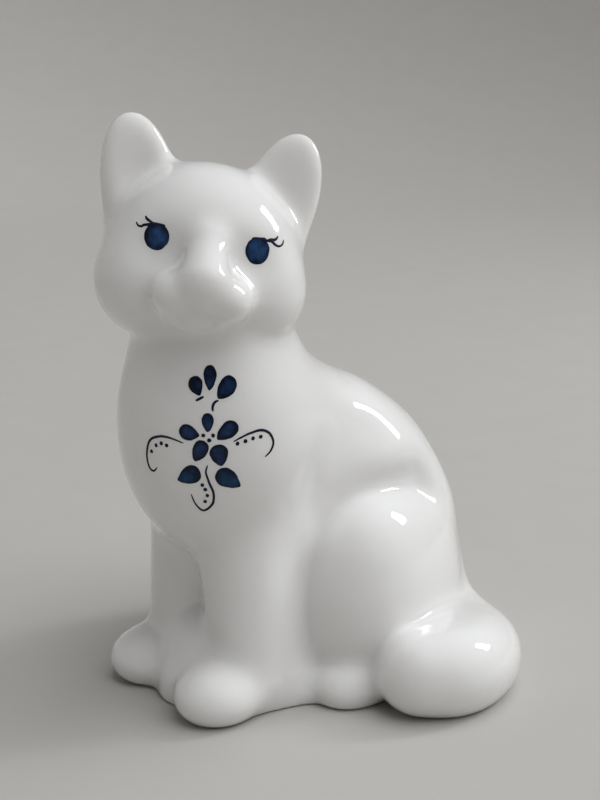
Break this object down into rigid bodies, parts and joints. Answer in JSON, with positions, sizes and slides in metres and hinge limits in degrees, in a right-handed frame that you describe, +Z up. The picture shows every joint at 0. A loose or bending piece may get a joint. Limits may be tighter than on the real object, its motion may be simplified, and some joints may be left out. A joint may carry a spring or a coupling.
{
  "type": "ceramic cat figurine",
  "caption": "Seated cat figurine in glossy white glazed ceramic, its head turned to its left and its tail round its left flank, with blue eyes and a blue flower sprig on the chest.",
  "frame": {"origin": "on the flat underside, on the body's middle plane, between the paws and the rump", "axes": "+Z up from the table, -Y the way the body faces, +X the cat's own left"},
  "size_m": [0.0637, 0.0697, 0.0921],
  "materials": {
    "white_glaze": "high gloss clear glaze over a white body",
    "cobalt_enamel": "glossy brushed cobalt blue under the glaze, darker at the edges",
    "navy_enamel": "glossy fine brushed line in dark blue"
  },
  "bodies": {
    "root": {"torso": "white_glaze", "head": "white_glaze", "left_ear": "white_glaze", "right_ear": "white_glaze", "left_foreleg": "white_glaze", "right_foreleg": "white_glaze", "left_haunch": "white_glaze", "right_haunch": "white_glaze", "left_hind_paw": "white_glaze", "right_hind_paw": "white_glaze", "tail": "white_glaze", "left_eye": "cobalt_enamel", "right_eye": "cobalt_enamel", "flower_petals": "cobalt_enamel", "bud_petals": "cobalt_enamel", "leaves": "cobalt_enamel", "left_lashes": "navy_enamel", "right_lashes": "navy_enamel", "flower_stamens": "navy_enamel", "bud_stems": "navy_enamel", "left_tendril": "navy_enamel", "right_tendril": "navy_enamel", "lower_tendril": "navy_enamel", "tendril_dots": "navy_enamel"}
  },
  "joints": []
}
